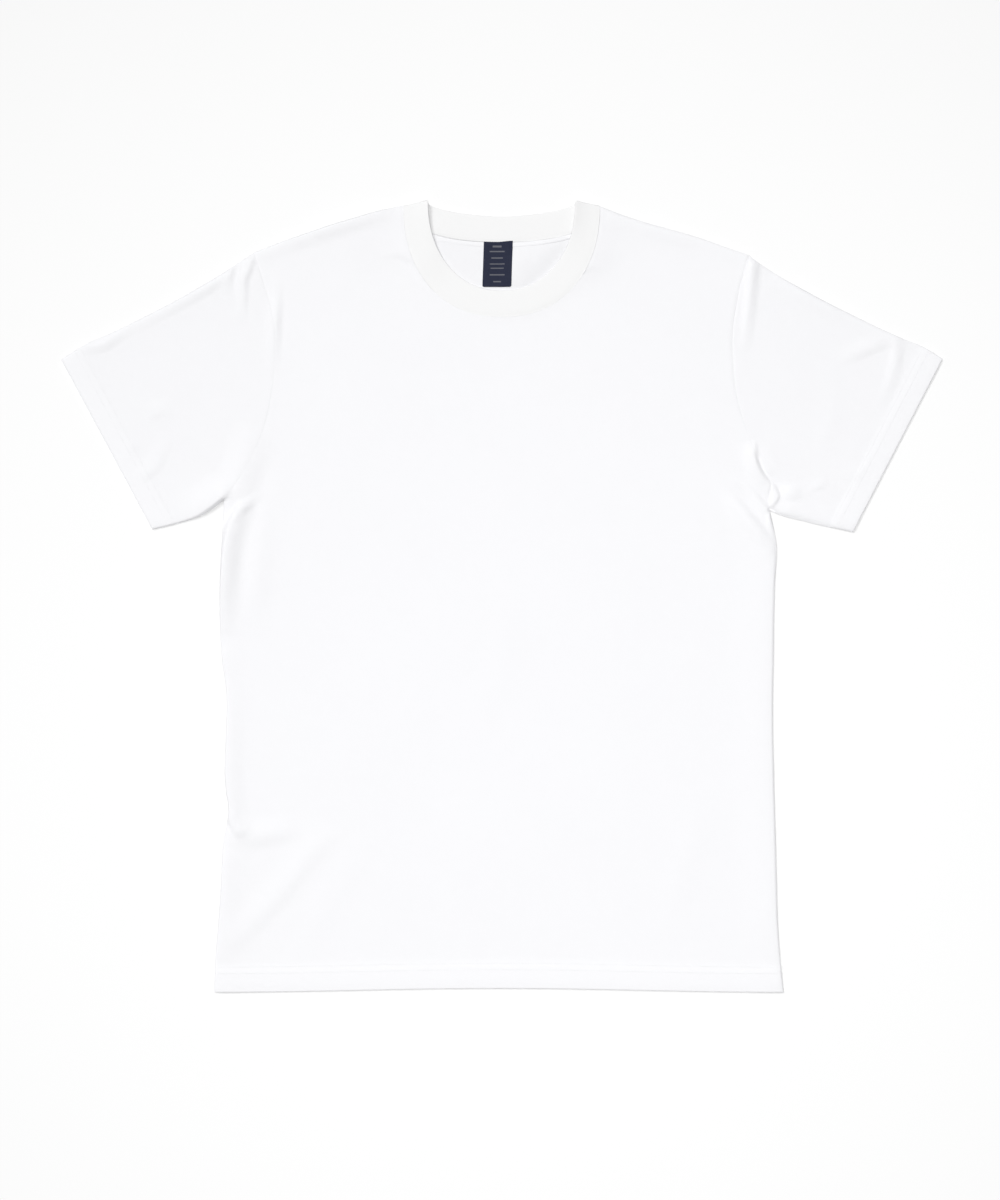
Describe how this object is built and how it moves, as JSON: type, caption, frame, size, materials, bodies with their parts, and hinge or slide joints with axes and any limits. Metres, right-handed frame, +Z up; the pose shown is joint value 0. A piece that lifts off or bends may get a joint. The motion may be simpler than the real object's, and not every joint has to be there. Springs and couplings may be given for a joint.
{
  "type": "crew neck t-shirt",
  "caption": "Short-sleeved crew neck T-shirt in white jersey, laid flat front side up, with a ribbed collar band and a navy neck label.",
  "frame": {"origin": "centre of the footprint of the laid-out shirt, on the surface that it lies on", "axes": "+X to the viewer's right across the sleeves, +Y from the hem to the collar, +Z up out of the surface, from the back panel to the front panel"},
  "size_m": [0.828, 0.743, 0.0068],
  "materials": {
    "jersey": "matt white cotton single jersey",
    "rib": "matt white cotton rib knit",
    "tape": "matt white jersey binding",
    "label": "navy woven satin, bare"
  },
  "bodies": {
    "root": {"front_body": "jersey", "back_body": "jersey", "sleeve_left": "jersey", "sleeve_right": "jersey", "collar": "rib", "neck_tape": "tape", "neck_label": "label"}
  },
  "joints": []
}
